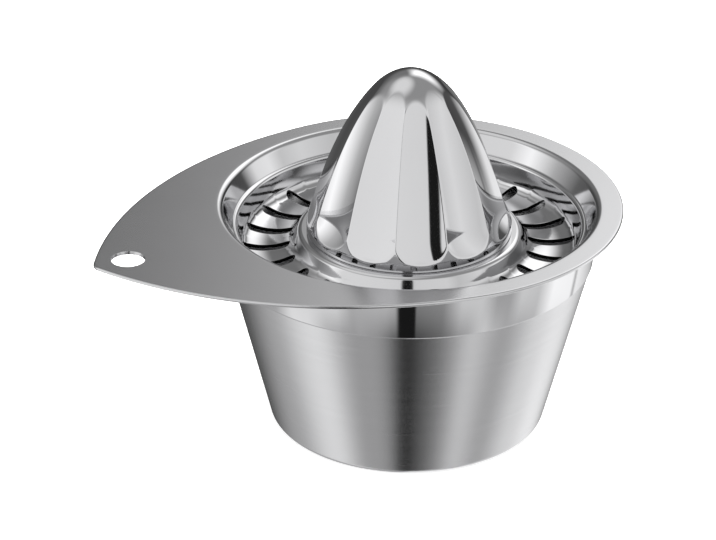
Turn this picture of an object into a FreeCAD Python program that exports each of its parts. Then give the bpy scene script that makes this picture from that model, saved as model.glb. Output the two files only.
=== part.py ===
import FreeCAD, Part
import math
import os

import Sketcher
from FreeCAD import Placement, Rotation, Vector

# Hand citrus juicer: a fluted reamer stands on a strainer dish that hangs in the mouth of a bowl.
# Origin on the bowl's axis, at the face that it stands on. +Z up, the handle points along -X.

DOC = FreeCAD.newDocument("hand_juicer")

# Driving sizes in millimetres, angles in degrees, counts as whole numbers.
SIZES = {
    # bowl
    "bowl_foot_radius": 45.7,
    "bowl_foot_rounding": 3.0,
    "bowl_wall": 0.8,
    "taper_height": 58.2,
    "band_step": 0.45,
    "band_shoulder": 0.5,
    "band_lean": 1.25,
    "bowl_mouth_radius": 62.0,
    # strainer plate, rim and handle
    "plate_height": 76.7,
    "sheet_thickness": 1.2,
    "rim_overhang": 8.0,
    "handle_reach": 110.1,
    "handle_side_radius": 131.0,
    "handle_tip_radius": 4.5,
    "edge_rounding": 0.5,
    "hang_hole_inset": 11.4,
    "hang_hole_radius": 5.43,
    "hang_hole_rounding": 0.3,
    # strainer dish, from the mouth inwards
    "mouth_margin": 0.4,
    "dish_mouth_rounding": 2.5,
    "seat_slope": 66.0,
    "seat_depth": 6.4,
    "seat_clearance": 0.3,
    "ledge_width": 2.2,
    "ledge_foot_rounding": 1.4,
    "ledge_edge_rounding": 1.5,
    "trough_wall_slope": 78.0,
    "trough_depth": 9.5,
    "trough_rounding": 5.0,
    "collar_step": 1.8,
    "collar_slope": 60.0,
    "collar_height": 6.6,
    "collar_rounding": 2.0,
    "collar_lip": 3.6,
    # strainer slots
    "slot_count": 24,
    "slot_width": 4.2,
    "slot_inner_margin": 2.8,
    "slot_outer_margin": 6.7,
    # reamer cone
    "cone_height": 56.2,
    "cone_fullness": 0.13,
    "cone_foot_radius": 34.6,
    "cone_foot_rounding": 0.5,
    "cone_foot_band": 3.2,
    "cone_wall": 1.0,
    "flute_count": 12,
    "flute_hollow_radius": 32.0,
    "flute_turn": -4.0,
    "ridge_relief": 0.1,
    "flute_foot_margin": 9.8,
    "flute_nose_margin": 11.5,
    "flute_foot_runout": 11.3,
    "flute_nose_runout": 40.0,
}

# How near an edge lies to the place where it is looked for.
NEAR = 0.01

SHEET = DOC.addObject("Spreadsheet::Sheet", "Sizes")
for row, (alias, value) in enumerate(SIZES.items(), start=1):
    SHEET.set(f"A{row}", alias)
    SHEET.set(f"B{row}", str(value))
    SHEET.setAlias(f"B{row}", alias)
DOC.recompute()


def size(alias):
    """Value of one cell of the sheet."""
    return float(SHEET.get(alias))


def cell(alias):
    """The same cell as it is written in an expression."""
    return f"Sizes.{alias}"


def new_body(name):
    body = DOC.addObject("PartDesign::Body", name)
    body.Label = name
    body.Placement = Placement()
    return body


def origin_feature(body, role):
    return next(item for item in body.Origin.OriginFeatures if item.Role == role)


def new_sketch(body, name, role):
    sketch = body.newObject("Sketcher::SketchObject", name)
    sketch.AttachmentSupport = [(origin_feature(body, role), "")]
    sketch.MapMode = "FlatFace"
    return sketch


def bind(sketch, constraint, expression):
    """Adds a driving constraint whose value follows an expression."""
    index = sketch.addConstraint(constraint)
    sketch.setExpression(f"Constraints[{index}]", expression)


def evaluate(expression):
    return float(SHEET.evalExpression(expression.replace("Sizes.", "")))


def polygon(sketch, corners):
    """Closed outline whose corners are pairs of expressions, measured from the sketch's origin."""
    points = [Vector(evaluate(x), evaluate(y), 0) for x, y in corners]
    count = len(points)
    for index in range(count):
        segment = Part.LineSegment(points[index], points[(index + 1) % count])
        sketch.addGeometry(segment, False)
    for index in range(count):
        following = (index + 1) % count
        sketch.addConstraint(Sketcher.Constraint("Coincident", index, 2, following, 1))
    for index, (x, y) in enumerate(corners):
        place_point(sketch, index, 1, points[index], x, y)
    DOC.recompute()


def place_point(sketch, geometry, end, point, x, y):
    """Fixes a point of a sketch at two expressions, or on an axis where one of them is zero."""
    if x == "0":
        sketch.addConstraint(Sketcher.Constraint("PointOnObject", geometry, end, -2))
    else:
        bind(sketch, Sketcher.Constraint("DistanceX", -1, 1, geometry, end, point.x), x)
    if y == "0":
        sketch.addConstraint(Sketcher.Constraint("PointOnObject", geometry, end, -1))
    else:
        bind(sketch, Sketcher.Constraint("DistanceY", -1, 1, geometry, end, point.y), y)


def revolve(body, name, kind, sketch):
    feature = body.newObject(f"PartDesign::{kind}", name)
    feature.Profile = sketch
    feature.ReferenceAxis = (sketch, ["V_Axis"])
    feature.Angle = 360
    sketch.Visibility = False
    DOC.recompute()
    return feature


def circle_edges(shape, rings):
    """Names of the edges that lie on rings, each a radius and a height about the main axis."""
    names = []
    for index, edge in enumerate(shape.Edges, start=1):
        point = edge.valueAt(edge.FirstParameter)
        middle = edge.valueAt((edge.FirstParameter + edge.LastParameter) / 2)
        for radius, height in rings:
            on_ring = all(
                abs(math.hypot(spot.x, spot.y) - radius) < NEAR and abs(spot.z - height) < NEAR
                for spot in (point, middle)
            )
            if on_ring:
                names.append(f"Edge{index}")
    return names


def round_edges(body, name, names, radius):
    feature = body.newObject("PartDesign::Fillet", name)
    feature.Base = (feature.BaseFeature, names)
    feature.Radius = evaluate(radius)
    feature.setExpression("Radius", radius)
    DOC.recompute()
    return feature


def round_rings(body, name, rings, radius):
    """Rounds the ring-shaped edges at pairs of expressions for radius and height."""
    places = [(evaluate(r), evaluate(z)) for r, z in rings]
    return round_edges(body, name, circle_edges(body.Tip.Shape, places), radius)


def tangent(alias):
    return f"tan({cell(alias)} * 1 deg)"


def half_tangent(alias):
    return f"tan({cell(alias)} * 0.5 deg)"


# Radii that follow the bowl's mouth or the reamer's foot, so that the pieces go on fitting.
MOUTH_RADIUS = f"({cell('bowl_mouth_radius')} - {cell('mouth_margin')})"
RIM_RADIUS = f"({cell('bowl_mouth_radius')} + {cell('rim_overhang')})"
BAND_RADIUS = f"({cell('bowl_mouth_radius')} - {cell('band_lean')})"
TAPER_TOP_RADIUS = f"({BAND_RADIUS} - {cell('band_step')})"
COLLAR_RADIUS = f"({cell('cone_foot_radius')} + {cell('collar_step')})"
COLLAR_BORE_RADIUS = f"({cell('cone_foot_radius')} - {cell('collar_lip')})"
SLOT_INNER_RADIUS = f"({COLLAR_RADIUS} + {cell('slot_inner_margin')})"
SLOT_OUTER_RADIUS = f"({MOUTH_RADIUS} - {cell('slot_outer_margin')})"
HANG_HOLE_DISTANCE = f"({cell('handle_reach')} - {cell('hang_hole_inset')})"

# Strainer dish: corners of its upper face, as radius and height, from the mouth to the collar.
PLATE_TOP = cell("plate_height")
LEDGE_HEIGHT = f"({PLATE_TOP} - {cell('seat_depth')})"
FLOOR_HEIGHT = f"({LEDGE_HEIGHT} - {cell('trough_depth')})"
COLLAR_TOP = f"({FLOOR_HEIGHT} + {cell('collar_height')})"
SEAT_FOOT_RADIUS = f"({MOUTH_RADIUS} - {cell('seat_depth')} / {tangent('seat_slope')})"
LEDGE_EDGE_RADIUS = f"({SEAT_FOOT_RADIUS} - {cell('ledge_width')})"
FLOOR_OUTER_RADIUS = f"({LEDGE_EDGE_RADIUS} - {cell('trough_depth')} / {tangent('trough_wall_slope')})"
FLOOR_INNER_RADIUS = f"({COLLAR_RADIUS} + {cell('collar_height')} / {tangent('collar_slope')})"

# The lower face follows one sheet thickness behind, so a corner moves sideways by half its slope.
SEAT_SHIFT = f"{cell('sheet_thickness')} * {half_tangent('seat_slope')}"
TROUGH_SHIFT = f"{cell('sheet_thickness')} * {half_tangent('trough_wall_slope')}"
COLLAR_SHIFT = f"{cell('sheet_thickness')} * {half_tangent('collar_slope')}"


def below(height):
    return f"({height} - {cell('sheet_thickness')})"


UPPER = {
    "mouth": (MOUTH_RADIUS, PLATE_TOP),
    "seat_foot": (SEAT_FOOT_RADIUS, LEDGE_HEIGHT),
    "ledge_edge": (LEDGE_EDGE_RADIUS, LEDGE_HEIGHT),
    "floor_outer": (FLOOR_OUTER_RADIUS, FLOOR_HEIGHT),
    "floor_inner": (FLOOR_INNER_RADIUS, FLOOR_HEIGHT),
    "collar": (COLLAR_RADIUS, COLLAR_TOP),
}
LOWER = {
    "mouth": (f"({MOUTH_RADIUS} + {SEAT_SHIFT})", below(PLATE_TOP)),
    "seat_foot": (f"({SEAT_FOOT_RADIUS} + {SEAT_SHIFT})", below(LEDGE_HEIGHT)),
    "ledge_edge": (f"({LEDGE_EDGE_RADIUS} + {TROUGH_SHIFT})", below(LEDGE_HEIGHT)),
    "floor_outer": (f"({FLOOR_OUTER_RADIUS} + {TROUGH_SHIFT})", below(FLOOR_HEIGHT)),
    "floor_inner": (f"({FLOOR_INNER_RADIUS} - {COLLAR_SHIFT})", below(FLOOR_HEIGHT)),
    "collar": (f"({COLLAR_RADIUS} - {COLLAR_SHIFT})", below(COLLAR_TOP)),
}


# Bowl: a deep-drawn cup. Its mouth carries the sloped seat of the dish, and the clearance between
# them is measured square to the slope.
MOUTH_INNER_RADIUS = f"({cell('bowl_mouth_radius')} - {cell('bowl_wall')})"
SEAT_FALL = f"({LOWER['mouth'][0]} - {MOUTH_INNER_RADIUS}) * {tangent('seat_slope')}"
SEAT_GAP = f"{cell('seat_clearance')} / cos({cell('seat_slope')} * 1 deg)"
BOWL_HEIGHT = f"({LOWER['mouth'][1]} - {SEAT_FALL} - {SEAT_GAP})"
SHOULDER_TOP = f"({cell('taper_height')} + {cell('band_shoulder')})"


def build_bowl():
    body = new_body("bowl")
    sketch = new_sketch(body, "bowl_section", "XZ_Plane")
    polygon(sketch, [
        ("0", "0"),
        (cell("bowl_foot_radius"), "0"),
        (TAPER_TOP_RADIUS, cell("taper_height")),
        (BAND_RADIUS, SHOULDER_TOP),
        (cell("bowl_mouth_radius"), BOWL_HEIGHT),
        ("0", BOWL_HEIGHT),
    ])
    revolve(body, "bowl_form", "Revolution", sketch)
    round_rings(body, "foot_rounding", [(cell("bowl_foot_radius"), "0")], cell("bowl_foot_rounding"))
    top_face = highest_flat_face(body.Tip.Shape)
    hollow = body.newObject("PartDesign::Thickness", "bowl_hollow")
    hollow.Base = (hollow.BaseFeature, [top_face])
    hollow.Value = size("bowl_wall")
    hollow.setExpression("Value", cell("bowl_wall"))
    hollow.Reversed = True
    hollow.Join = 1
    DOC.recompute()
    return body


def highest_flat_face(shape):
    flat = [
        (face.CenterOfMass.z, f"Face{index}")
        for index, face in enumerate(shape.Faces, start=1)
        if isinstance(face.Surface, Part.Plane)
    ]
    return max(flat)[1]


def teardrop(sketch):
    """Rim circle, two long side arcs and a tip arc, each tangent to the next."""
    rim = evaluate(RIM_RADIUS)
    side = size("handle_side_radius")
    tip = size("handle_tip_radius")
    tip_centre = Vector(-(size("handle_reach") - size("handle_tip_radius")), 0, 0)
    to_rim = side - rim
    to_tip = side - tip
    span = tip_centre.Length
    along = (to_rim**2 + span**2 - to_tip**2) / (2 * span)
    across = math.sqrt(to_rim**2 - along**2)
    lower_side = Vector(-along, across, 0)
    upper_side = Vector(-along, -across, 0)
    rim_angle = math.atan2(upper_side.y, upper_side.x) + math.pi
    tip_angle = math.atan2((tip_centre - upper_side).y, (tip_centre - upper_side).x)
    full = 2 * math.pi

    def arc(centre, radius, start, end):
        circle = Part.Circle(centre, Vector(0, 0, 1), radius)
        return sketch.addGeometry(Part.ArcOfCircle(circle, start, end), False)

    rim_arc = arc(Vector(), rim, -rim_angle, rim_angle)
    upper_arc = arc(upper_side, side, rim_angle, tip_angle)
    tip_arc = arc(tip_centre, tip, tip_angle, full - tip_angle)
    lower_arc = arc(lower_side, side, full - tip_angle, full - rim_angle)
    chain = [rim_arc, upper_arc, tip_arc, lower_arc]
    for index, first in enumerate(chain):
        second = chain[(index + 1) % len(chain)]
        sketch.addConstraint(Sketcher.Constraint("Tangent", first, 2, second, 1))
    sketch.addConstraint(Sketcher.Constraint("Coincident", rim_arc, 3, -1, 1))
    sketch.addConstraint(Sketcher.Constraint("PointOnObject", tip_arc, 3, -1))
    centre_reach = f"{cell('handle_reach')} - {cell('handle_tip_radius')}"
    bind(sketch, Sketcher.Constraint("DistanceX", tip_arc, 3, -1, 1, span), centre_reach)
    for geometry, expression, radius in (
        (rim_arc, RIM_RADIUS, rim),
        (upper_arc, cell("handle_side_radius"), side),
        (tip_arc, cell("handle_tip_radius"), tip),
        (lower_arc, cell("handle_side_radius"), side),
    ):
        bind(sketch, Sketcher.Constraint("Radius", geometry, radius), expression)
    DOC.recompute()


def lift(sketch, height):
    """Raises a sketch off the base plane to the height of an expression."""
    sketch.AttachmentOffset = Placement(Vector(0, 0, evaluate(height)), Rotation())
    sketch.setExpression(".AttachmentOffset.Base.z", height)


def pocket(body, name, sketch):
    """Cuts a sketch all the way through, both ways from its plane."""
    feature = body.newObject("PartDesign::Pocket", name)
    feature.Profile = sketch
    feature.Type = 1
    feature.Midplane = True
    sketch.Visibility = False
    DOC.recompute()
    return feature


def outline_edges(shape, height):
    """Names of the edges of the plate's outline at a height, outside the dish's mouth."""
    mouth = evaluate(MOUTH_RADIUS) + size("dish_mouth_rounding")
    names = []
    for index, edge in enumerate(shape.Edges, start=1):
        ends = [edge.valueAt(edge.FirstParameter), edge.valueAt(edge.LastParameter)]
        flat = all(abs(end.z - height) < NEAR for end in ends)
        outside = all(math.hypot(end.x, end.y) > mouth for end in ends)
        if flat and outside:
            names.append(f"Edge{index}")
    return names


def build_strainer_plate():
    body = new_body("strainer_plate")
    blank = new_sketch(body, "plate_outline", "XY_Plane")
    lift(blank, below(PLATE_TOP))
    teardrop(blank)
    pad = body.newObject("PartDesign::Pad", "plate_blank")
    pad.Profile = blank
    pad.Length = size("sheet_thickness")
    pad.setExpression("Length", cell("sheet_thickness"))
    blank.Visibility = False
    DOC.recompute()
    edges = outline_edges(pad.Shape, evaluate(PLATE_TOP))
    edges += outline_edges(pad.Shape, evaluate(below(PLATE_TOP)))
    round_edges(body, "outline_rounding", edges, cell("edge_rounding"))

    under = new_sketch(body, "dish_under_section", "XZ_Plane")
    polygon(under, [
        LOWER["mouth"],
        LOWER["seat_foot"],
        LOWER["ledge_edge"],
        LOWER["floor_outer"],
        LOWER["floor_inner"],
        LOWER["collar"],
        ("0", LOWER["collar"][1]),
        ("0", LOWER["mouth"][1]),
    ])
    revolve(body, "dish_form", "Revolution", under)

    upper = new_sketch(body, "dish_upper_section", "XZ_Plane")
    polygon(upper, [
        UPPER["mouth"],
        UPPER["seat_foot"],
        UPPER["ledge_edge"],
        UPPER["floor_outer"],
        UPPER["floor_inner"],
        UPPER["collar"],
        ("0", UPPER["collar"][1]),
        ("0", UPPER["mouth"][1]),
    ])
    revolve(body, "dish_hollow", "Groove", upper)

    bore = new_sketch(body, "collar_bore_outline", "XY_Plane")
    circle = Part.Circle(Vector(), Vector(0, 0, 1), evaluate(COLLAR_BORE_RADIUS))
    bore.addGeometry(circle, False)
    bore.addConstraint(Sketcher.Constraint("Coincident", 0, 3, -1, 1))
    radius = Sketcher.Constraint("Radius", 0, evaluate(COLLAR_BORE_RADIUS))
    bind(bore, radius, COLLAR_BORE_RADIUS)
    pocket(body, "collar_bore", bore)

    # Each bend has one centre for both faces, so their radii differ by the sheet.
    thinner = f" - {cell('sheet_thickness')}"
    thicker = f" + {cell('sheet_thickness')}"
    for corner, alias, other in (
        ("mouth", "dish_mouth_rounding", thinner),
        ("seat_foot", "ledge_foot_rounding", thicker),
        ("ledge_edge", "ledge_edge_rounding", thinner),
        ("floor_outer", "trough_rounding", thicker),
        ("floor_inner", "trough_rounding", thicker),
        ("collar", "collar_rounding", thinner),
    ):
        round_rings(body, f"{corner}_upper_bend", [UPPER[corner]], cell(alias))
        round_rings(body, f"{corner}_lower_bend", [LOWER[corner]], cell(alias) + other)

    cut_slots(body)
    cut_hanging_hole(body)
    return body


def cut_slots(body):
    sketch = new_sketch(body, "slot_outline", "XY_Plane")
    half = size("slot_width") / 2
    inner = Vector(-(evaluate(SLOT_INNER_RADIUS) + half), 0, 0)
    outer = Vector(-(evaluate(SLOT_OUTER_RADIUS) - half), 0, 0)
    up = Vector(0, half, 0)
    right = math.pi / 2

    def end_arc(centre, start, end):
        circle = Part.Circle(centre, Vector(0, 0, 1), half)
        return sketch.addGeometry(Part.ArcOfCircle(circle, start, end), False)

    inner_arc = end_arc(inner, -right, right)
    top = sketch.addGeometry(Part.LineSegment(inner + up, outer + up), False)
    outer_arc = end_arc(outer, right, 3 * right)
    bottom = sketch.addGeometry(Part.LineSegment(outer - up, inner - up), False)
    chain = [inner_arc, top, outer_arc, bottom]
    for index, first in enumerate(chain):
        second = chain[(index + 1) % len(chain)]
        sketch.addConstraint(Sketcher.Constraint("Tangent", first, 2, second, 1))
    sketch.addConstraint(Sketcher.Constraint("PointOnObject", inner_arc, 3, -1))
    sketch.addConstraint(Sketcher.Constraint("PointOnObject", outer_arc, 3, -1))
    half_width = f"{cell('slot_width')} / 2"
    bind(sketch, Sketcher.Constraint("Radius", inner_arc, half), half_width)
    near = Sketcher.Constraint("DistanceX", inner_arc, 3, -1, 1, -inner.x)
    bind(sketch, near, f"{SLOT_INNER_RADIUS} + {half_width}")
    far = Sketcher.Constraint("DistanceX", outer_arc, 3, -1, 1, -outer.x)
    bind(sketch, far, f"{SLOT_OUTER_RADIUS} - {half_width}")
    # The handle points between two slots.
    half_pitch = f"180 deg / {cell('slot_count')}"
    sketch.AttachmentOffset = Placement(Vector(), Rotation(Vector(0, 0, 1), 180 / size("slot_count")))
    sketch.setExpression(".AttachmentOffset.Rotation.Angle", half_pitch)
    DOC.recompute()
    first_slot = pocket(body, "first_slot", sketch)
    pattern = body.newObject("PartDesign::PolarPattern", "slots")
    pattern.Originals = [first_slot]
    pattern.Axis = (origin_feature(body, "Z_Axis"), [""])
    pattern.Angle = 360
    pattern.Occurrences = int(size("slot_count"))
    pattern.setExpression("Occurrences", cell("slot_count"))
    body.Tip = pattern
    DOC.recompute()


def cut_hanging_hole(body):
    sketch = new_sketch(body, "hang_hole_outline", "XY_Plane")
    centre = Vector(-evaluate(HANG_HOLE_DISTANCE), 0, 0)
    sketch.addGeometry(Part.Circle(centre, Vector(0, 0, 1), size("hang_hole_radius")), False)
    sketch.addConstraint(Sketcher.Constraint("PointOnObject", 0, 3, -1))
    distance = Sketcher.Constraint("DistanceX", 0, 3, -1, 1, -centre.x)
    bind(sketch, distance, HANG_HOLE_DISTANCE)
    bind(sketch, Sketcher.Constraint("Radius", 0, size("hang_hole_radius")), cell("hang_hole_radius"))
    hole = pocket(body, "hang_hole", sketch)
    names = []
    for index, edge in enumerate(hole.Shape.Edges, start=1):
        is_circle = isinstance(edge.Curve, Part.Circle)
        if is_circle and abs(edge.Curve.Radius - size("hang_hole_radius")) < NEAR:
            if abs(edge.Curve.Center.x - centre.x) < NEAR:
                names.append(f"Edge{index}")
    round_edges(body, "hang_hole_lip", names, cell("hang_hole_rounding"))


# Reamer cone: a pressed shell. Its outer form is part of an ellipse turned about the axis, over an
# upright band at its foot. Between the ridges the scoops run out above the band and below the nose.
def cone_levels():
    foot = evaluate(COLLAR_TOP)
    return foot, foot + size("cone_height")


def form_radius(height, inset):
    """Radius of the unfluted form at a height, drawn in by inset."""
    foot, apex = cone_levels()
    fall = max(apex - inset - height, 0) / (apex - inset - foot)
    fuller = 1 + size("cone_fullness") * (1 - fall)
    return (size("cone_foot_radius") - inset) * math.sqrt(fall * fuller)


def cone_form(inset):
    """Solid of the unfluted cone; the inner one is open below, so it reaches past the foot."""
    foot, apex = cone_levels()
    shoulder = foot + size("cone_foot_band")
    edge_radius = form_radius(shoulder, inset)
    top = Vector(0, 0, apex - inset)
    fullness = size("cone_fullness")
    tall = (top.z - foot) * (1 + fullness) / (2 * fullness)
    wide = (size("cone_foot_radius") - inset) * (1 + fullness) / (2 * math.sqrt(fullness))
    centre = top - Vector(0, 0, tall)
    ellipse = Part.Ellipse(top, centre + Vector(wide, 0, 0), centre)
    start = Vector(edge_radius, 0, shoulder)
    ends = [ellipse.parameter(spot) for spot in (top, start)]
    side = Part.ArcOfEllipse(ellipse, min(ends), max(ends)).toShape()
    if inset:
        base = Vector(edge_radius, 0, foot - size("cone_wall"))
        lower = [Part.LineSegment(start, base).toShape()]
    else:
        rounding = size("cone_foot_rounding")
        bend = Vector(edge_radius, 0, foot + rounding)
        middle = bend + Vector(math.sqrt(0.5) - 1, 0, -math.sqrt(0.5)) * rounding
        base = Vector(edge_radius - rounding, 0, foot)
        lower = [Part.LineSegment(start, bend).toShape(), Part.Arc(bend, middle, base).toShape()]
    axis_foot = Vector(0, 0, base.z)
    wire = Part.Wire([
        side,
        *lower,
        Part.LineSegment(base, axis_foot).toShape(),
        Part.LineSegment(axis_foot, top).toShape(),
    ])
    return Part.Face(wire).revolve(Vector(), Vector(0, 0, 1), 360)


def runout(height):
    """How far a scoop's surface has moved outwards past its lower or upper end."""
    foot, apex = cone_levels()
    low = max(foot + size("flute_foot_margin") - height, 0)
    high = max(height - (apex - size("flute_nose_margin")), 0)
    return low**2 / (2 * size("flute_foot_runout")) + high**2 / (2 * size("flute_nose_runout"))


def flute_section(height, inset):
    """Closed ring of hollow arcs that meet at the ridges, at one height."""
    count = int(size("flute_count"))
    ridge = form_radius(height, 0) - size("ridge_relief")
    half_step = math.pi / count
    chord = 2 * ridge * math.sin(half_step)
    hollow = ridge * math.cos(half_step) - chord**2 / (8 * size("flute_hollow_radius"))
    move = runout(height) - inset
    turn = math.pi + math.radians(size("flute_turn"))

    def point(radius, steps):
        angle = turn + steps * half_step
        return Vector(radius * math.cos(angle), radius * math.sin(angle), height)

    arcs = []
    for index in range(count):
        start = point(ridge + move, 2 * index)
        middle = point(hollow + move, 2 * index + 1)
        end = point(ridge + move, 2 * index + 2)
        arcs.append(Part.Arc(start, middle, end).toShape())
    return Part.Wire(arcs)


def fluted_form(inset):
    """The cone's form with its scoops, drawn in by inset."""
    foot, apex = cone_levels()
    low_end = foot + size("flute_foot_margin")
    high_end = apex - size("flute_nose_margin")
    below_foot = foot - 2 * size("cone_wall")
    end_steps, side_steps = 4, 6
    foot_step = (low_end - below_foot) / end_steps
    side_step = (high_end - low_end) / side_steps
    heights = [below_foot + foot_step * step for step in range(end_steps)]
    heights += [low_end + side_step * step for step in range(side_steps)]
    # Towards the nose the sections draw closer, and the last one lies above the form.
    for step in range(end_steps, 0, -1):
        heights.append(apex - size("flute_nose_margin") * (step / end_steps) ** 2)
    heights.append(apex + size("cone_wall") / 2)
    sections = [flute_section(height, inset) for height in heights]
    star = Part.makeLoft(sections, True, False)
    return cone_form(inset).common(star)


def build_reamer_cone():
    shell = fluted_form(0).cut(fluted_form(size("cone_wall")))
    cone = DOC.addObject("Part::Feature", "reamer_cone")
    cone.Label = "reamer_cone"
    cone.Shape = shell.Solids[0] if len(shell.Solids) == 1 else shell
    cone.Placement = Placement()
    return cone


PIECES = [build_bowl(), build_strainer_plate(), build_reamer_cone()]
DOC.recompute()

for item in DOC.Objects:
    if "Invalid" in item.State or "Error" in item.State:
        raise RuntimeError(f"{item.Name} did not compute: {item.State}")
for piece in PIECES:
    if piece.Shape.isNull() or not piece.Shape.isValid():
        raise RuntimeError(f"{piece.Label} has no valid shape")
    if len(piece.Shape.Solids) != 1:
        raise RuntimeError(f"{piece.Label} has {len(piece.Shape.Solids)} solids")

os.makedirs("parts", exist_ok=True)
for piece in PIECES:
    piece.Shape.exportStep(f"parts/{piece.Label}.step")
    box = piece.Shape.optimalBoundingBox(True, False)
    print(f"{piece.Label}: {piece.Shape.Volume:.1f} mm3, z {box.ZMin:.2f} to {box.ZMax:.2f}")
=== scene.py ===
import math

import bmesh
import bpy
from mathutils import Matrix, Vector


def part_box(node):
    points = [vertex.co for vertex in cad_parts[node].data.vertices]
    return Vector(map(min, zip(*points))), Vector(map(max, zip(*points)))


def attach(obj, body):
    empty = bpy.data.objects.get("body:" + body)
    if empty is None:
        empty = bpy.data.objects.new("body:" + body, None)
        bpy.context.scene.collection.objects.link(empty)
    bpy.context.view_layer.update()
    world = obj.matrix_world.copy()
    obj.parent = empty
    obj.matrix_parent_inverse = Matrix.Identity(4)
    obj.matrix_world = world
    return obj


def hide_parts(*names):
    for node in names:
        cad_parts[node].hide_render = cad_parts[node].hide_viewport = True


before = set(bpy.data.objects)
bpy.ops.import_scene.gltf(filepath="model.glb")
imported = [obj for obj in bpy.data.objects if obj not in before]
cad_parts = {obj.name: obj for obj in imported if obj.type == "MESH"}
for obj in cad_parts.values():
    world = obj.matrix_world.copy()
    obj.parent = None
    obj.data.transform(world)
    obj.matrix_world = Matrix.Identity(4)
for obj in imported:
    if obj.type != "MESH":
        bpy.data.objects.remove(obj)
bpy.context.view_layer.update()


# Bowl. A deep-drawn cup of 0.8 mm stainless steel with a flat base. Its taper is brushed round
# and round, and a plain polished band stands a hair proud of the taper under the mouth.
MM = 0.001
FULL_TURN = 2 * math.pi
BOWL_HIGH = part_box("bowl")[1]
BOWL_WALL = 0.8 * MM
FOOT_RADIUS = 45.7 * MM
FOOT_ROUNDING = 3.0 * MM
TAPER_TOP_RADIUS = 60.3 * MM
TAPER_TOP = 58.2 * MM
BAND_RADIUS = 60.75 * MM
BAND_FOOT = 58.7 * MM
BAND_LIP = 0.25 * MM
MOUTH_EDGE = 0.2 * MM
BOWL_SEGMENTS = 288


def rounded(corners, steps=8):
    """Section line through corners, each a radius, a height and the rounding of that corner."""
    line = []
    for index, (radius, height, rounding) in enumerate(corners):
        corner = Vector((radius, height))
        if not rounding:
            line.append(corner)
            continue
        back = (Vector(corners[index - 1][:2]) - corner).normalized()
        ahead = (Vector(corners[index + 1][:2]) - corner).normalized()
        half = back.angle(ahead) / 2
        centre = corner + (back + ahead).normalized() * rounding / math.sin(half)
        start = (corner + back * rounding / math.tan(half) - centre).normalized()
        end = (corner + ahead * rounding / math.tan(half) - centre).normalized()
        line += [centre + start.slerp(end, step / steps) * rounding for step in range(steps + 1)]
    return line


def finish_mesh(piece):
    """Merges what meets, turns all faces outwards and leaves edit mode."""
    bpy.ops.mesh.select_all(action="SELECT")
    bpy.ops.mesh.remove_doubles(threshold=0.0005 * MM)
    bpy.ops.mesh.normals_make_consistent(inside=False)
    bpy.ops.object.mode_set(mode="OBJECT")
    bpy.ops.object.shade_smooth()
    return piece


def spin_section(name, line, segments):
    """Draws a section line as a chain of edges and spins it once round the main axis."""
    bpy.ops.object.select_all(action="DESELECT")
    bpy.ops.mesh.primitive_circle_add(vertices=len(line), radius=FOOT_RADIUS)
    piece = bpy.context.object
    piece.name = piece.data.name = name
    bpy.ops.object.mode_set(mode="EDIT")
    mesh = bmesh.from_edit_mesh(piece.data)
    mesh.verts.ensure_lookup_table()
    for vertex, point in zip(mesh.verts, line):
        vertex.co = (point.x, 0, point.y)
    closing = mesh.edges.get((mesh.verts[0], mesh.verts[len(line) - 1]))
    mesh.edges.remove(closing)
    bmesh.update_edit_mesh(piece.data)
    bpy.ops.mesh.select_all(action="SELECT")
    bpy.ops.mesh.spin(steps=segments, angle=FULL_TURN, center=(0, 0, 0), axis=(0, 0, 1))
    return finish_mesh(piece)


mouth_radius = BOWL_HIGH.x
bowl_height = BOWL_HIGH.z
taper_lean = (TAPER_TOP_RADIUS - FOOT_RADIUS) / TAPER_TOP
inner_foot = FOOT_RADIUS - BOWL_WALL * (math.hypot(1, taper_lean) - taper_lean)
bowl_line = rounded([
    (0, 0, 0),
    (FOOT_RADIUS, 0, FOOT_ROUNDING),
    (TAPER_TOP_RADIUS, TAPER_TOP, BAND_LIP),
    (BAND_RADIUS, BAND_FOOT, BAND_LIP),
    (mouth_radius, bowl_height, MOUTH_EDGE),
    (mouth_radius - BOWL_WALL, bowl_height, MOUTH_EDGE),
    (BAND_RADIUS - BOWL_WALL, BAND_FOOT, 0),
    (TAPER_TOP_RADIUS - BOWL_WALL, TAPER_TOP, 0),
    (inner_foot, BOWL_WALL, FOOT_ROUNDING - BOWL_WALL),
    (0, BOWL_WALL, 0),
])
bowl = spin_section("bowl_cup", bowl_line, BOWL_SEGMENTS)


def set_stops(elements, stops):
    """Gives a ramp its own stops, greys by position from 0, in place of the two it starts with."""
    for index, (position, grey) in enumerate(stops.items()):
        stop = elements.new(position) if index else elements[0]
        stop.position = position
        stop.color = (grey, grey, grey, 1)
    elements.remove(elements[len(elements) - 1])


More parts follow.
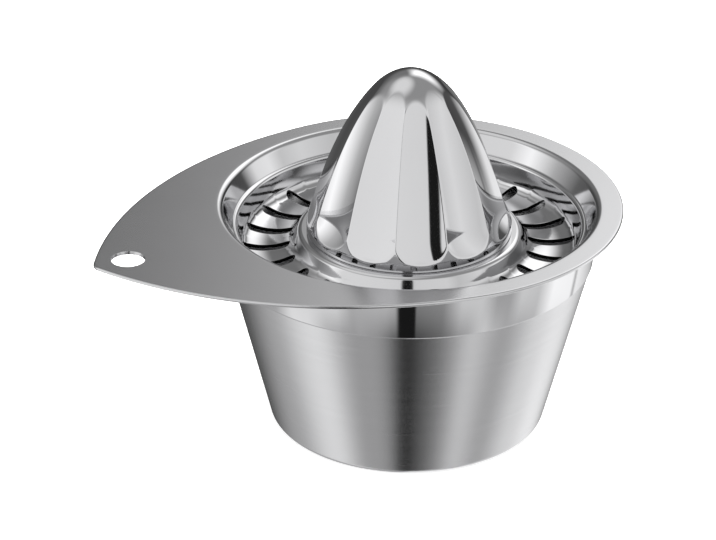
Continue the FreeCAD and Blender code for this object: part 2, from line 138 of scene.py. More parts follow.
class Field:
    """The output of a node, so that what varies over a surface is written as plain maths."""

    def __init__(self, tree, socket=None):
        self.tree = tree
        self.socket = socket

    def node(self, kind, settings=None, sockets=None, output=0):
        """Adds a node: its settings or stops first, then the value or link of each socket."""
        made = self.tree.nodes.new("ShaderNode" + kind)
        for setting, value in (settings or {}).items():
            if setting == "stops":
                set_stops(made.color_ramp.elements, value)
            else:
                setattr(made, setting, value)
        for name, value in (sockets or {}).items():
            if isinstance(value, Field):
                self.tree.links.new(value.socket, made.inputs[name])
            else:
                made.inputs[name].default_value = value
        return Field(self.tree, made.outputs[output])

    def maths(self, operation, first, second):
        return self.node("Math", {"operation": operation}, {0: first, 1: second})

    def __add__(self, other):
        return self.maths("ADD", self, other)

    __radd__ = __add__

    def __sub__(self, other):
        return self.maths("SUBTRACT", self, other)

    def __rsub__(self, other):
        return self.maths("SUBTRACT", other, self)

    def __mul__(self, other):
        return self.maths("MULTIPLY", self, other)

    __rmul__ = __mul__

    def __pow__(self, other):
        return self.maths("POWER", self, other)

    def rise(self, start, end):
        """0 before start, 1 after end, and a smooth rise between them."""
        limits = {"Value": self, "From Min": start, "From Max": end}
        return self.node("MapRange", {"interpolation_type": "SMOOTHSTEP"}, limits)

    def part(self, name):
        """X, Y or Z of a vector."""
        return self.node("SeparateXYZ", None, {"Vector": self}, name)

    def noise(self, scale, detail=2.0):
        """Fine uneven grain, whose scale is given along X, Y and Z."""
        stretched = self.node("Mapping", None, {"Vector": self, "Scale": scale})
        return self.node("TexNoise", None, {"Vector": stretched, "Scale": 1.0, "Detail": detail})


def steel(name, piece, dark, light, anisotropy=0.0):
    """Stainless steel on a piece: returns its surface coordinates and a way to finish it."""
    material = bpy.data.materials.new(name)
    material.use_nodes = True
    tree = material.node_tree
    shader = tree.nodes["Principled BSDF"]
    shader.inputs["Metallic"].default_value = 1.0
    shader.inputs["Anisotropic"].default_value = anisotropy
    shader.inputs["Anisotropic Rotation"].default_value = 0.25
    piece.data.materials.clear()
    piece.data.materials.append(material)

    def polish(tint, roughness, height, relief):
        tones = {0: tint, 6: (*dark, 1), 7: (*light, 1)}
        colour = tint.node("Mix", {"data_type": "RGBA"}, tones, 2)
        bump = height.node("Bump", None, {"Height": height, "Strength": 1.0, "Distance": relief})
        tree.links.new(colour.socket, shader.inputs["Base Color"])
        tree.links.new(roughness.socket, shader.inputs["Roughness"])
        tree.links.new(bump.socket, shader.inputs["Normal"])

    return Field(tree).node("TexCoord", None, None, "Object"), polish


# The brush runs round the taper, so its grain is long that way and very fine in height.
BRUSH_START, BRUSH_FULL = FOOT_RADIUS - 6 * MM, FOOT_RADIUS - 2 * MM
BRUSH_GRAIN = (35.0, 35.0, 9000.0)
BRUSH_BAND = (12.0, 12.0, 700.0)
FINE_GRAIN = (2500.0, 2500.0, 2500.0)
TAPER_ROUGHNESS = 0.23
BAND_ROUGHNESS = 0.055
BRUSH_RELIEF = 0.004 * MM
STEEL_DARK = (0.60, 0.60, 0.61)
STEEL_LIGHT = (0.70, 0.70, 0.71)

place, polish = steel("brushed_bowl_steel", bowl, STEEL_DARK, STEEL_LIGHT, anisotropy=0.8)
grain = place.noise(BRUSH_GRAIN, 3.0)
streaks = place.noise(BRUSH_BAND, 2.0)
height = place.part("Z")
band = height.rise(TAPER_TOP, BAND_FOOT)
outside = (place.part("X") ** 2 + place.part("Y") ** 2) ** 0.5
brushed = (1 - band) * outside.rise(BRUSH_START, BRUSH_FULL)
polish(
    0.35 + 0.3 * grain + 0.3 * (streaks - 0.5) * brushed,
    BAND_ROUGHNESS
    + brushed * (TAPER_ROUGHNESS - BAND_ROUGHNESS + 0.12 * (grain - 0.5))
    + 0.02 * grain,
    grain * brushed,
    BRUSH_RELIEF,
)
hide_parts("bowl")
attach(bowl, "bowl")


# Strainer plate. One pressing of 1.2 mm stainless steel: satin round rim and teardrop handle with
# rounded edges and a hanging hole, and a polished dish with 24 punched slots and a collar.
PLATE_LOW, PLATE_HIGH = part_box("strainer_plate")
SHEET = 1.2 * MM
PLATE_TOP = PLATE_HIGH.z
RIM_RADIUS = PLATE_HIGH.x
HANDLE_REACH = -PLATE_LOW.x
HANDLE_SIDE_RADIUS = 131.0 * MM
HANDLE_TIP_RADIUS = 4.5 * MM
EDGE_ROUNDING = 0.5 * MM
HANG_HOLE_DISTANCE = 98.7 * MM
HANG_HOLE_RADIUS = 5.43 * MM
DISH_MOUTH_RADIUS = 61.6 * MM
DISH_MOUTH_ROUNDING = 2.5 * MM
SEAT_SLOPE = math.radians(60)
LEDGE_HEIGHT = PLATE_TOP - 6.4 * MM
LEDGE_EDGE_RADIUS = 56.55 * MM
FLOOR_HEIGHT = PLATE_LOW.z + SHEET
FLOOR_MIDDLE = 47.3 * MM
FLOOR_CURVE = 21.0 * MM
TROUGH_SLOPE = math.radians(78)
TROUGH_BEND = 3.0 * MM
COLLAR_BEND = 5.0 * MM
COLLAR_RADIUS = 36.4 * MM
COLLAR_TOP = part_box("reamer_cone")[0].z
COLLAR_SLOPE = math.radians(60)
COLLAR_BORE_RADIUS = 31.0 * MM
SLOT_COUNT = 24
SLOT_WIDTH = 4.2 * MM
SLOT_INNER_RADIUS = 39.2 * MM
SLOT_OUTER_RADIUS = 54.9 * MM
SEGMENTS_A_SLOT = 12
PLATE_SEGMENTS = SLOT_COUNT * SEGMENTS_A_SLOT
SLOT_SIDE_SEGMENTS = 30
SUPPORT = 0.5 * MM
COLLAR_EDGE_ROUNDING = 2.0 * MM
LEDGE_EDGE_ROUNDING = 1.25 * MM
LEDGE_FOOT_ROUNDING = 0.55 * MM
PUNCH_ROUNDING = 0.16 * MM
PUNCH_ANGLE = math.radians(50)

seat_foot_radius = DISH_MOUTH_RADIUS - (PLATE_TOP - LEDGE_HEIGHT) / math.tan(SEAT_SLOPE)
floor_outer_radius = LEDGE_EDGE_RADIUS - (LEDGE_HEIGHT - FLOOR_HEIGHT) / math.tan(TROUGH_SLOPE)
floor_inner_radius = COLLAR_RADIUS + (COLLAR_TOP - FLOOR_HEIGHT) / math.tan(COLLAR_SLOPE)


def trough_side(slope, bend, wall_foot):
    """Slope and bend of a wall of the trough, and the angle at which the shallow floor meets it."""
    reach = wall_foot * math.sin(slope) + FLOOR_CURVE * math.cos(slope) - bend
    return slope, bend, slope - math.acos(reach / (FLOOR_CURVE - bend))


outer_side = trough_side(TROUGH_SLOPE, TROUGH_BEND, floor_outer_radius - FLOOR_MIDDLE)
inner_side = trough_side(COLLAR_SLOPE, COLLAR_BEND, FLOOR_MIDDLE - floor_inner_radius)


def trough(run):
    """Radius and height of the trough's face, at a run along it from the middle of its floor."""
    slope, bend, start = outer_side if run > 0 else inner_side
    along = abs(run)
    on_floor = min(along / FLOOR_CURVE, start)
    on_bend = start + min(max(along - FLOOR_CURVE * start, 0) / bend, slope - start)
    straight = max(along - FLOOR_CURVE * start - bend * (slope - start), 0)
    reach = FLOOR_CURVE * math.sin(on_floor) + bend * (math.sin(on_bend) - math.sin(start))
    climb = FLOOR_CURVE * (1 - math.cos(on_floor)) + bend * (math.cos(start) - math.cos(on_bend))
    reach += straight * math.cos(slope)
    climb += straight * math.sin(slope)
    return FLOOR_MIDDLE + math.copysign(reach, run), FLOOR_HEIGHT + climb


def trough_run(radius):
    """The run at which the trough's face has a radius, within its bends."""
    _, bend, start = outer_side if radius > FLOOR_MIDDLE else inner_side
    out = abs(radius - FLOOR_MIDDLE)
    past = out - FLOOR_CURVE * math.sin(start)
    if past < 0:
        run = FLOOR_CURVE * math.asin(out / FLOOR_CURVE)
    else:
        run = FLOOR_CURVE * start + bend * (math.asin(math.sin(start) + past / bend) - start)
    return math.copysign(run, radius - FLOOR_MIDDLE)


def whole_run(side):
    """Length of the floor and the bend on one side, and a little of the wall."""
    slope, bend, start = side
    return FLOOR_CURVE * start + bend * (slope - start) + SUPPORT


trough_inner_run = -whole_run(inner_side)
trough_outer_run = whole_run(outer_side)


def slot_outline(step):
    """Run and angle of a point on a slot's edge, and of its neighbour on the sector's edge."""
    half = SLOT_WIDTH / 2
    near, far = SLOT_INNER_RADIUS + half, SLOT_OUTER_RADIUS - half
    sector = math.pi / SLOT_COUNT
    end, side = SEGMENTS_A_SLOT, SLOT_SIDE_SEGMENTS
    if step < end:
        share = step / end
        turn = math.pi * (0.5 + share)
        x, y = near + half * math.cos(turn), half * math.sin(turn)
        edge = trough_inner_run, sector * (1 - 2 * share)
    elif step < end + side:
        share = (step - end) / side
        x, y = near + (far - near) * share, -half
        edge = trough_inner_run + (trough_outer_run - trough_inner_run) * share, -sector
    elif step < 2 * end + side:
        share = (step - end - side) / end
        turn = math.pi * (share - 0.5)
        x, y = far + half * math.cos(turn), half * math.sin(turn)
        edge = trough_outer_run, sector * (2 * share - 1)
    else:
        share = (step - 2 * end - side) / side
        x, y = far - (far - near) * share, half
        edge = trough_outer_run - (trough_outer_run - trough_inner_run) * share, sector
    return (trough_run(math.hypot(x, y)), math.atan2(y, x)), edge


# One sector of the trough is laid round its slot, and the others are copies turned about the axis.
around_slot = 2 * (SEGMENTS_A_SLOT + SLOT_SIDE_SEGMENTS)
rings = (0.0, 0.07, 0.2, 0.38, 0.58, 0.79, 1.0)
bpy.ops.object.select_all(action="DESELECT")
bpy.ops.mesh.primitive_grid_add(x_subdivisions=around_slot, y_subdivisions=len(rings) - 1, size=1)
strainer = bpy.context.object
strainer.name = strainer.data.name = "strainer_dish"
bpy.ops.object.mode_set(mode="EDIT")
mesh = bmesh.from_edit_mesh(strainer.data)
for vertex in mesh.verts:
    step = round((vertex.co.x + 0.5) * around_slot) % around_slot
    ring = rings[round((vertex.co.y + 0.5) * (len(rings) - 1))]
    slot_edge, sector_edge = slot_outline(step)
    run = slot_edge[0] + (sector_edge[0] - slot_edge[0]) * ring
    angle = slot_edge[1] + (sector_edge[1] - slot_edge[1]) * ring + math.pi / SLOT_COUNT
    radius, lift = trough(run)
    vertex.co = (radius * math.cos(angle), radius * math.sin(angle), lift)
bmesh.update_edit_mesh(strainer.data)
bpy.ops.mesh.select_all(action="SELECT")
bpy.ops.mesh.spin(steps=SLOT_COUNT, angle=FULL_TURN, center=(0, 0, 0), axis=(0, 0, 1), dupli=True)
bpy.ops.mesh.select_all(action="SELECT")
bpy.ops.mesh.remove_doubles(threshold=0.002 * MM)


def select_ring(piece, radius):
    """Selects only the open edge loop of a piece that lies at a radius from the main axis."""
    bpy.ops.mesh.select_all(action="DESELECT")
    mesh = bmesh.from_edit_mesh(piece.data)
    for edge in mesh.edges:
        on_ring = all(abs(math.hypot(*vertex.co.xy) - radius) < 0.02 * MM for vertex in edge.verts)
        if edge.is_boundary and on_ring:
            edge.select_set(True)
    bmesh.update_edit_mesh(piece.data)


def draw_ring(line):
    """Extrudes the selected ring from point to point of a section line."""
    for before, after in zip(line, line[1:]):
        rise = (0, 0, after.y - before.y)
        bpy.ops.mesh.extrude_region_move(TRANSFORM_OT_translate={"value": rise})
        growth = after.x / before.x
        bpy.ops.transform.resize(value=(growth, growth, 1), center_override=(0, 0, after.y))


dish_line = rounded([
    (COLLAR_BORE_RADIUS, COLLAR_TOP, 0),
    (COLLAR_RADIUS, COLLAR_TOP, COLLAR_EDGE_ROUNDING),
    (*trough(trough_inner_run), 0),
])
select_ring(strainer, dish_line[-1].x)
draw_ring(dish_line[::-1])
dish_line = rounded([
    (*trough(trough_outer_run), 0),
    (LEDGE_EDGE_RADIUS, LEDGE_HEIGHT, LEDGE_EDGE_ROUNDING),
    (seat_foot_radius, LEDGE_HEIGHT, LEDGE_FOOT_ROUNDING),
    (DISH_MOUTH_RADIUS, PLATE_TOP, DISH_MOUTH_ROUNDING),
    (DISH_MOUTH_RADIUS + DISH_MOUTH_ROUNDING, PLATE_TOP, 0),
])
select_ring(strainer, dish_line[0].x)
draw_ring(dish_line)


def teardrop(inset):
    """Points of the plate's outline drawn in by an inset, one for each segment of the dish."""
    rim, side, tip = RIM_RADIUS - inset, HANDLE_SIDE_RADIUS - inset, HANDLE_TIP_RADIUS - inset
    tip_centre = Vector((-(HANDLE_REACH - HANDLE_TIP_RADIUS), 0))
    span = tip_centre.length
    along = ((side - rim) ** 2 + span**2 - (side - tip) ** 2) / (2 * span)
    side_centre = Vector((-along, -math.sqrt((side - rim) ** 2 - along**2)))
    rim_turn = math.atan2(-side_centre.y, -side_centre.x)
    tip_turn = math.atan2(tip_centre.y - side_centre.y, tip_centre.x - side_centre.x)
    half_way = PLATE_SEGMENTS // 2
    rim_steps = round(rim_turn / FULL_TURN * PLATE_SEGMENTS)
    tip_steps = 8
    side_steps = half_way - rim_steps - tip_steps
    points = []
    for step in range(half_way + 1):
        if step <= rim_steps:
            centre, radius, turn = Vector((0, 0)), rim, rim_turn * step / rim_steps
        elif step <= rim_steps + side_steps:
            share = (step - rim_steps) / side_steps
            centre, radius, turn = side_centre, side, rim_turn + (tip_turn - rim_turn) * share
        else:
            share = (step - rim_steps - side_steps) / tip_steps
            centre, radius, turn = tip_centre, tip, tip_turn + (math.pi - tip_turn) * share
        points.append(centre + Vector((math.cos(turn), math.sin(turn))) * radius)
    mirrored = [Vector((point.x, -point.y)) for point in points[-2:0:-1]]
    return points + mirrored


def widen_to(outlines):
    """Extrudes the open outer loop to each outline in turn; an outline is its inset and height."""
    mesh = bmesh.from_edit_mesh(strainer.data)
    loop = {vertex.index for vertex in mesh.verts if vertex.select}
    steps = {}
    for vertex in mesh.verts:
        if vertex.index in loop:
            turn = math.atan2(vertex.co.y, vertex.co.x) % FULL_TURN
            steps[tuple(round(c, 7) for c in vertex.co)] = round(turn / FULL_TURN * PLATE_SEGMENTS)
    for inset, height in outlines:
        bpy.ops.mesh.extrude_region_move(TRANSFORM_OT_translate={"value": (0, 0, 0)})
        points = teardrop(inset)
        mesh = bmesh.from_edit_mesh(strainer.data)
        moved = {}
        for vertex in mesh.verts:
            if vertex.select:
                step = steps[tuple(round(c, 7) for c in vertex.co)] % PLATE_SEGMENTS
                vertex.co = (*points[step], height)
                moved[tuple(round(c, 7) for c in vertex.co)] = step
        steps = moved
        bmesh.update_edit_mesh(strainer.data)


widen_to([(2 * EDGE_ROUNDING, PLATE_TOP), (0, PLATE_TOP)])
finish_mesh(strainer)


def apply(piece, kind, **settings):
    """Adds a modifier and applies it at once."""
    bpy.ops.object.select_all(action="DESELECT")
    piece.select_set(True)
    bpy.context.view_layer.objects.active = piece
    modifier = piece.modifiers.new(kind.lower(), kind)
    for setting, value in settings.items():
        setattr(modifier, setting, value)
    bpy.ops.object.modifier_apply(modifier=modifier.name)


faces_up = sum(face.normal.z * face.area for face in strainer.data.polygons)
if faces_up < 0:
    strainer.data.flip_normals()
apply(strainer, "SOLIDIFY", thickness=SHEET, offset=-1, use_even_offset=True)

# Both edges of the outline are rounded over, and then the hanging hole is punched.
outline = {(round(point.x, 5), round(point.y, 5)) for point in teardrop(0)}
bpy.ops.object.mode_set(mode="EDIT")
bpy.ops.mesh.select_all(action="DESELECT")
mesh = bmesh.from_edit_mesh(strainer.data)
for edge in mesh.edges:
    level = abs(edge.verts[0].co.z - edge.verts[1].co.z) < 0.01 * MM
    if level and all((round(v.co.x, 5), round(v.co.y, 5)) in outline for v in edge.verts):
        edge.select_set(True)
bmesh.update_edit_mesh(strainer.data)
bpy.ops.mesh.bevel(offset=EDGE_ROUNDING, segments=4, profile=0.5, affect="EDGES")
bpy.ops.object.mode_set(mode="OBJECT")
bpy.ops.object.select_all(action="DESELECT")
hole_middle = (-HANG_HOLE_DISTANCE, 0, PLATE_TOP - SHEET / 2)
bpy.ops.mesh.primitive_cylinder_add(
    vertices=96, radius=HANG_HOLE_RADIUS, depth=4 * SHEET, location=hole_middle
)
punch = bpy.context.object
apply(strainer, "BOOLEAN", object=punch, operation="DIFFERENCE", solver="EXACT")
bpy.data.objects.remove(punch)
apply(
    strainer, "BEVEL", width=PUNCH_ROUNDING, segments=3,
    limit_method="ANGLE", angle_limit=PUNCH_ANGLE,
)
bpy.ops.object.shade_smooth()
apply(strainer, "WEIGHTED_NORMAL", mode="FACE_AREA", weight=50, keep_sharp=False)

PLATE_ROUGHNESS = 0.20
DISH_ROUGHNESS = 0.07
PUNCHED_ROUGHNESS = 0.4
# Near black: painted shade on the slot walls, and the dark end of the plate's random tone.
SLOT_SHADE_AND_DARK_TONE = (0.02, 0.02, 0.02)
SATIN_RELIEF = 0.0002 * MM
place, polish = steel("strainer_plate_steel", strainer, SLOT_SHADE_AND_DARK_TONE, STEEL_LIGHT)
grain = place.noise(FINE_GRAIN, 2.0)
cloud = place.noise((60.0, 60.0, 60.0), 3.0)
outside = (place.part("X") ** 2 + place.part("Y") ** 2) ** 0.5
satin = outside.rise(DISH_MOUTH_RADIUS - 1 * MM, DISH_MOUTH_RADIUS + 3 * MM)
# Painted shade: the upright faces of the slots are rough and painted near black, the shade of the
# bowl's dark inside. They are the upright faces between the ends of the slots.
levelness = place.node("TexCoord", None, None, "Normal").part("Z") ** 2
in_slots = outside.rise(SLOT_INNER_RADIUS - 0.2 * MM, SLOT_INNER_RADIUS)
in_slots = in_slots * (1 - outside.rise(SLOT_OUTER_RADIUS - 0.6 * MM, SLOT_OUTER_RADIUS - 0.3 * MM))
slot_walls_rough_and_shaded = in_slots * (1 - levelness.rise(0.06, 0.18))
# The near-black colour of the slot walls below is painted shade.
polish(
    (0.93 + 0.01 * (grain - 0.5) + 0.04 * (cloud - 0.5)) * (1 - slot_walls_rough_and_shaded),
    DISH_ROUGHNESS
    + PUNCHED_ROUGHNESS * slot_walls_rough_and_shaded
    + satin * (PLATE_ROUGHNESS - DISH_ROUGHNESS + 0.04 * (grain - 0.5))
    + 0.03 * (cloud - 0.5),
    grain * satin,
    SATIN_RELIEF,
)
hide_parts("strainer_plate")
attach(strainer, "strainer")


# Reamer cone. A hollow shell of 1 mm stainless steel, polished to a mirror. Twelve scoops, long
# and short by turns, are pressed into a smooth form over an upright band that stands on the collar.
CONE_LOW, CONE_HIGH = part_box("reamer_cone")
CONE_WALL = 1.0 * MM
CONE_RADIUS = 34.6 * MM
CONE_FULLNESS = 0.13
CONE_FOOT_ROUNDING = 0.5 * MM
CONE_FOOT_BAND = 3.2 * MM
FLUTES = 12
FLUTE_TURN = math.radians(-4)
FLUTE_HOLLOW = 32.0 * MM
RIDGE_RELIEF = 0.1 * MM
FLUTE_FOOT_MARGIN = 9.8 * MM
FLUTE_NOSE_MARGIN = 11.5 * MM
FLUTE_NOSE_CHANGE = 1.5 * MM
FLUTE_FOOT_RUNOUT = 11.3 * MM
FLUTE_NOSE_RUNOUT = 40.0 * MM
EDGE_SOFTNESS = 0.16 * MM
CONE_SEGMENTS = 384
OUTER_STEPS, INNER_STEPS, BAND_STEPS, FOOT_STEPS = 176, 46, 8, 5
RIDGE_CROWDING = 0.55
CONE_FOOT, CONE_TOP = CONE_LOW.z, CONE_HIGH.z


def form_radius(height, inset):
    """Radius of the smooth form at a height, drawn in by an inset."""
    fall = max(CONE_TOP - inset - height, 0) / (CONE_TOP - inset - CONE_FOOT)
    return (CONE_RADIUS - inset) * math.sqrt(fall * (1 + CONE_FULLNESS * (1 - fall)))


def form_line(inset, steps, lowest):
    """Section of the form from its nose down to a height, with finer steps towards the foot."""
    widest = form_radius(lowest, inset)
    fuller = 1 + CONE_FULLNESS
    line = []
    for step in range(steps + 1):
        radius = widest * (step / steps) ** 0.65
        square = (radius / (CONE_RADIUS - inset)) ** 2
        fall = (fuller - math.sqrt(fuller**2 - 4 * CONE_FULLNESS * square)) / (2 * CONE_FULLNESS)
        line.append(Vector((radius, CONE_TOP - inset - fall * (CONE_TOP - inset - CONE_FOOT))))
    return line


shoulder = CONE_FOOT + CONE_FOOT_BAND
shoulder_radius = form_radius(shoulder, 0)
foot_line = []
for step in range(1, BAND_STEPS - 1):
    foot_line.append(Vector((shoulder_radius, shoulder - CONE_FOOT_BAND * step / BAND_STEPS)))
for step in range(FOOT_STEPS + 1):
    turn = math.pi / 2 * step / FOOT_STEPS
    bend = Vector((math.cos(turn) - 1, 1 - math.sin(turn))) * CONE_FOOT_ROUNDING
    foot_line.append(Vector((shoulder_radius, CONE_FOOT)) + bend)
inner_line = form_line(CONE_WALL, INNER_STEPS, shoulder)
inner_foot_point = Vector((inner_line[-1].x, CONE_FOOT))
outer_line = form_line(0, OUTER_STEPS, shoulder) + foot_line
cone_line = outer_line + [inner_foot_point] + inner_line[::-1]
cone = spin_section("reamer_flutes", cone_line, CONE_SEGMENTS)


def scoop_radius(height, angle):
    """Radius of the nearest scoop's face at a height, at an angle from the scoop's middle."""
    half_step = math.pi / FLUTES
    ridge = max(form_radius(height, 0) - RIDGE_RELIEF, 0)
    half_chord = ridge * math.sin(half_step)
    depth = half_chord**2 / (2 * FLUTE_HOLLOW)
    if depth < RIDGE_RELIEF * 0.01:
        return ridge
    curve = (half_chord**2 + depth**2) / (2 * depth)
    away = ridge * math.cos(half_step) - depth + curve
    return away * math.cos(angle) - math.sqrt(curve**2 - (away * math.sin(angle)) ** 2)


def runout(height, nose_margin):
    """How far a scoop's face has swung out past its lower or upper end."""
    low = max(CONE_FOOT + FLUTE_FOOT_MARGIN - height, 0)
    high = max(height - (CONE_TOP - nose_margin), 0)
    return low**2 / (2 * FLUTE_FOOT_RUNOUT) + high**2 / (2 * FLUTE_NOSE_RUNOUT)


def softer(first, second):
    """The smaller of two sizes, with the corner between them rounded."""
    share = min(max(0.5 + 0.5 * (first - second) / EDGE_SOFTNESS, 0), 1)
    return first + (second - first) * share - EDGE_SOFTNESS * share * (1 - share)


# Each vertex slides round towards the nearest ridge, so that ridges get the finest faces, and is
# then pressed in to its scoop.
for vertex in cone.data.vertices:
    radius = math.hypot(*vertex.co.xy)
    if radius < 0.01 * MM:
        continue
    step = FULL_TURN / FLUTES
    angle = math.atan2(vertex.co.y, vertex.co.x) - FLUTE_TURN - math.pi
    scoop = math.floor(angle / step)
    middle = (scoop + 0.5) * step
    nose_margin = FLUTE_NOSE_MARGIN + FLUTE_NOSE_CHANGE * (-1 if scoop % 2 else 1)
    offset = angle - middle
    offset += RIDGE_CROWDING * step / FULL_TURN * math.sin(offset / step * FULL_TURN)
    inside = radius < min(form_radius(vertex.co.z, 0), shoulder_radius) - CONE_WALL / 2
    inset = CONE_WALL if inside and vertex.co.z > CONE_FOOT + MM else 0
    pressed = scoop_radius(vertex.co.z, offset) + runout(vertex.co.z, nose_margin) - inset
    if vertex.co.z > CONE_FOOT + MM:
        radius = softer(radius, max(pressed, 0))
    turn = middle + offset + FLUTE_TURN + math.pi
    vertex.co.x = radius * math.cos(turn)
    vertex.co.y = radius * math.sin(turn)
cone.data.update()

CONE_ROUGHNESS = 0.045
CONE_RELIEF = 0.01 * MM
CONE_DARK = (0.66, 0.66, 0.67)
CONE_LIGHT = (0.74, 0.74, 0.75)
place, polish = steel("mirror_cone_steel", cone, CONE_DARK, CONE_LIGHT)
grain = place.noise(FINE_GRAIN, 2.0)
cloud = place.noise((90.0, 90.0, 50.0), 3.0)
polish(
    0.5 + 0.2 * (grain - 0.5) + 0.4 * (cloud - 0.5),
    CONE_ROUGHNESS + 0.03 * (cloud - 0.5) + 0.01 * (grain - 0.5),
    cloud,
    CONE_RELIEF,
)
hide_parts("reamer_cone")
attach(cone, "strainer")


# Camera at the photograph's angle. It aims a little left of the object and leans by less than a
# degree, as the photograph does.
PHOTO_WIDTH, PHOTO_HEIGHT = 716, 540
VIEW_AZIMUTH = math.radians(-26.4)
VIEW_ELEVATION = math.radians(27.17)
VIEW_DISTANCE = 0.995
FOCAL_PIXELS = 3000.0
OBJECT_PIXEL = (408.5, 274.2)
ROLL = math.radians(0.70)
AIM = Vector((0, 0, 0.050))

back = Vector((
    math.sin(VIEW_AZIMUTH) * math.cos(VIEW_ELEVATION),
    -math.cos(VIEW_AZIMUTH) * math.cos(VIEW_ELEVATION),
    math.sin(VIEW_ELEVATION),
))
pan = math.atan((OBJECT_PIXEL[0] - PHOTO_WIDTH / 2) / FOCAL_PIXELS)
tilt = math.atan((OBJECT_PIXEL[1] - PHOTO_HEIGHT / 2) / FOCAL_PIXELS)
bpy.ops.object.select_all(action="DESELECT")
bpy.ops.object.camera_add(location=AIM + back * VIEW_DISTANCE)
camera = bpy.context.object
camera.name = "camera"
camera.rotation_mode = "QUATERNION"
turned = (-back).to_track_quat("-Z", "Y").to_matrix()
for angle, axis in ((ROLL, "Z"), (pan, "Y"), (tilt, "X")):
    turned = turned @ Matrix.Rotation(angle, 3, axis)
camera.rotation_quaternion = turned.to_quaternion()
camera.data.sensor_width = 36.0
camera.data.lens = FOCAL_PIXELS * camera.data.sensor_width / PHOTO_WIDTH
camera.data.clip_end = 20.0
bpy.context.scene.camera = camera


# Floor: a plain pale worktop, lit a little from within to be as pale as a studio's ground. The
# steel mirrors only the studio around it, so the floor is left out of reflections.
bpy.ops.object.select_all(action="DESELECT")
bpy.ops.mesh.primitive_circle_add(vertices=96, radius=4.0, fill_type="NGON")
floor = bpy.context.object
floor.name = floor.data.name = "floor"
floor.visible_glossy = False
paper = bpy.data.materials.new("pale_floor")
paper.use_nodes = True
speckle = Field(paper.node_tree).node("TexCoord", None, None, "Object").noise((900.0, 900.0, 900.0))
tones = {0: speckle, 6: (0.88, 0.88, 0.88, 1), 7: (0.93, 0.93, 0.93, 1)}
paper_colour = speckle.node("Mix", {"data_type": "RGBA"}, tones, 2)
paper_shader = paper.node_tree.nodes["Principled BSDF"]
paper.node_tree.links.new(paper_colour.socket, paper_shader.inputs["Base Color"])
paper_shader.inputs["Roughness"].default_value = 0.9
paper_shader.inputs["Specular IOR Level"].default_value = 0.1
paper_shader.inputs["Emission Color"].default_value = (1, 1, 1, 1)
paper_shader.inputs["Emission Strength"].default_value = 0.6
floor.data.materials.append(paper)


# Studio: a light tent with a black slit for the camera, dim behind the object, and a soft light
# overhead. Each wall's brightness goes by azimuth from the camera, positive to its right.
GROUND_WALL = {
    -180: 0.50, -140: 0.45, -122: 0.50, -108: 0.62, -94: 0.95, -80: 1.18, -68: 1.05, -56: 0.50,
    -44: 0.34, -32: 0.46, -20: 0.34, -9: 0.05, 4: 0.02, 16: 0.10, 28: 0.20, 40: 0.42, 52: 0.95,
    64: 0.70, 77: 0.36, 90: 0.52, 104: 1.00, 118: 0.88, 135: 1.20, 160: 1.40,
}
LOW_WALL = {
    -180: 0.10, -150: 0.10, -126: 0.14, -113: 0.50, -95: 0.42, -82: 1.00, -46: 1.05, -36: 0.62,
    -14: 0.70, -6: 0.60, 5: 0.30, 22: 0.36, 34: 0.85, 47: 0.85, 58: 0.50,
    67: 0.52, 76: 0.88, 90: 0.80, 104: 1.40, 126: 1.30, 129: 0.45, 132: 1.20, 158: 0.60, 170: 0.12,
}
HIGH_WALL = {
    -180: 0.07, -145: 0.08, -126: 0.16, -104: 0.60, -84: 1.40, -70: 1.00, -20: 0.95, 5: 0.88,
    40: 0.92, 52: 0.75, 75: 0.95, 90: 0.80, 100: 1.15, 112: 1.05, 124: 0.10, 150: 0.05, 168: 0.08,
}
ROOF = 0.36
ROOF_LEAN = math.radians(20)
SOFTBOX = 0.55
SOFTBOX_AXIS = (-0.30, 0.14, 0.94)
GLOW_LEFT, GLOW_CHANGE = 0.22, 1.45
SLIT = 0.013

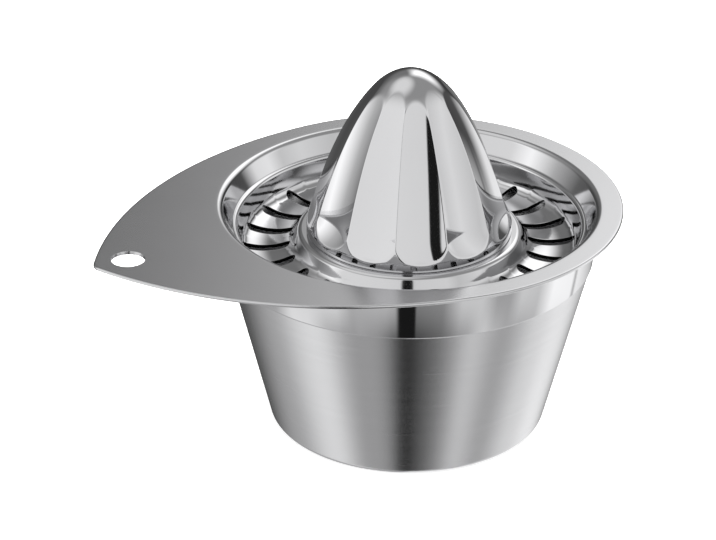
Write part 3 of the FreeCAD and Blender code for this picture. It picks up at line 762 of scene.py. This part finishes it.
world = bpy.data.worlds.new("studio")
bpy.context.scene.world = world
world.use_nodes = True
tree = world.node_tree
sky = Field(tree)
direction = sky.node("TexCoord", None, None, "Generated")
to_camera = {"Vector": direction, "Angle": -VIEW_AZIMUTH}
facing = direction.node("VectorRotate", {"rotation_type": "Z_AXIS"}, to_camera)
azimuth = facing.maths("ARCTAN2", facing.part("X"), -1 * facing.part("Y"))
share = azimuth * (1 / FULL_TURN) + 0.5


def wall(stops):
    """Brightness by azimuth, from stops in degrees. The ramp holds halves, for up to 2."""
    halves = {degrees / 360 + 0.5: brightness / 2 for degrees, brightness in stops.items()}
    return 2 * share.node("ValToRGB", {"stops": halves}, {0: share})


def along(axis):
    """How far a direction points along an axis."""
    return facing.node("VectorMath", {"operation": "DOT_PRODUCT"}, {0: facing, 1: axis}, "Value")


height = direction.part("Z")
ground, low, high = wall(GROUND_WALL), wall(LOW_WALL), wall(HIGH_WALL)
walls = ground + (low - ground) * height.rise(-0.72, -0.52)
walls = walls + (high - walls) * height.rise(-0.45, 0.0)
slit = azimuth.rise(-0.145, -0.09) * (1 - azimuth.rise(0.07, 0.10)) * (1 - height.rise(0.74, 0.86))
walls = walls - slit * (walls - SLIT)
above = along((0.0, math.sin(ROOF_LEAN), math.cos(ROOF_LEAN)))
behind = facing.part("Y").rise(0.45, 0.75)
glow = GLOW_LEFT + GLOW_CHANGE * facing.part("X").rise(-0.12, 0.16)
roof = ROOF + SOFTBOX * along(SOFTBOX_AXIS).rise(0.86, 0.99)
roof = roof + behind * (glow - roof)
studio = walls + (roof - walls) * above.rise(0.47, 0.79)
seen = sky.node("LightPath", None, None, "Is Camera Ray")
backdrop = studio + (1.0 - studio) * seen
tree.links.new(backdrop.socket, tree.nodes["Background"].inputs["Color"])

bpy.ops.object.select_all(action="DESELECT")
bpy.ops.object.light_add(type="AREA", location=(0, 0, 2.2))
lamp = bpy.context.object
lamp.name = "overhead_light"
lamp.data.shape = "DISK"
lamp.data.size = 3.0
lamp.data.energy = 120.0
lamp.visible_glossy = False

bpy.context.scene.view_settings.view_transform = "Standard"
bpy.context.scene.view_settings.look = "None"
